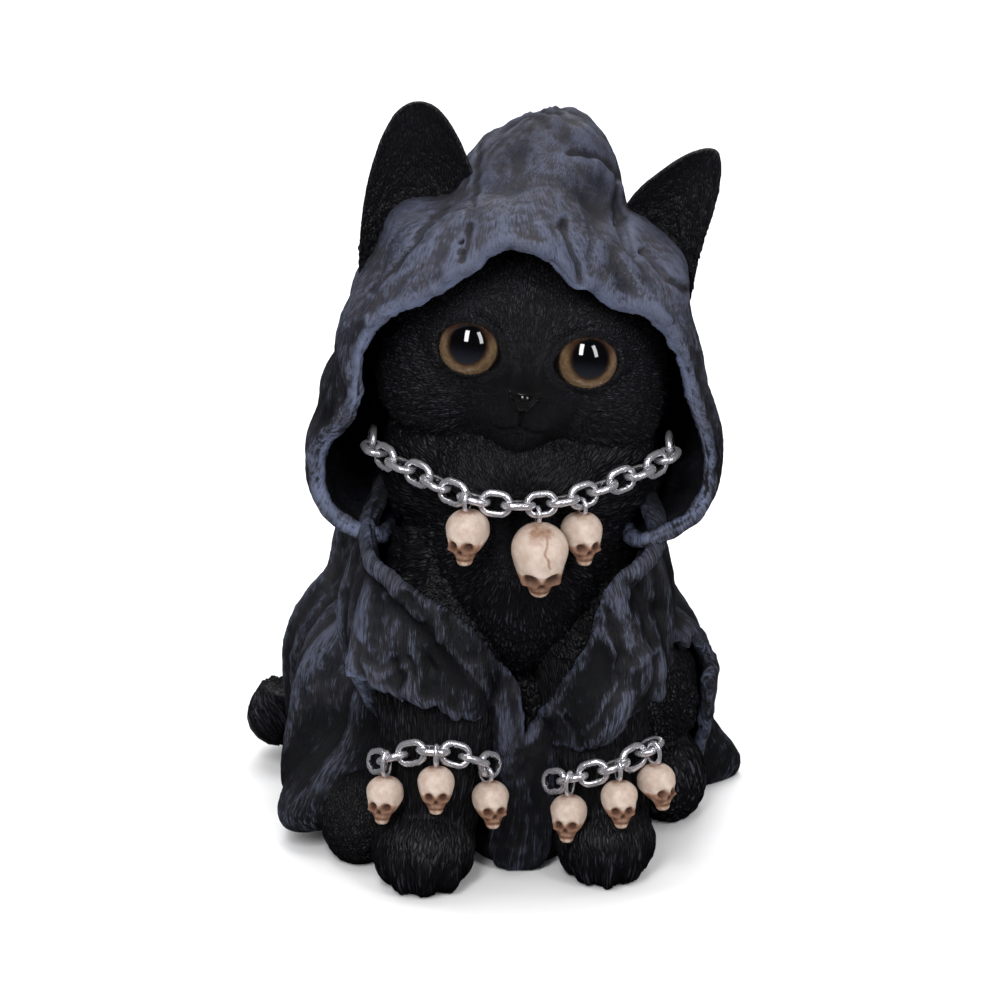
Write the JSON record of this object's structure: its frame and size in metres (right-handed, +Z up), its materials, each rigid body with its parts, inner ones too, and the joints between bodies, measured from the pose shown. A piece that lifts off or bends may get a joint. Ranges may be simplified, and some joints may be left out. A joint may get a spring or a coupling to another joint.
{
  "type": "hooded cat figurine",
  "caption": "Seated kitten figurine in a tattered hooded cloak, with glossy amber eyes and skull charms hung from chains at its neck and forelegs",
  "frame": {"origin": "on the flat underside, under the middle of the cat", "axes": "+Z up through the hood, -Y the way the cat looks, +X to the right of someone who faces it"},
  "size_m": [0.1087, 0.1114, 0.1576],
  "materials": {
    "painted_resin": "satin black fur and near-black navy cloth with blue-grey dry brushing",
    "amber_eye": "high gloss",
    "silver_paint": "bright silver with dark recesses",
    "bone_paint": "satin bone with a brown wash"
  },
  "bodies": {
    "root": {"figure": "painted_resin", "eye_left": "amber_eye", "eye_right": "amber_eye", "neck_chain": "silver_paint", "bracelet_left_chain": "silver_paint", "bracelet_right_chain": "silver_paint", "neck_skull_left": "bone_paint", "neck_skull_centre": "bone_paint", "neck_skull_right": "bone_paint", "bracelet_left_skull_outer": "bone_paint", "bracelet_left_skull_middle": "bone_paint", "bracelet_left_skull_inner": "bone_paint", "bracelet_right_skull_inner": "bone_paint", "bracelet_right_skull_middle": "bone_paint", "bracelet_right_skull_outer": "bone_paint"}
  },
  "joints": []
}
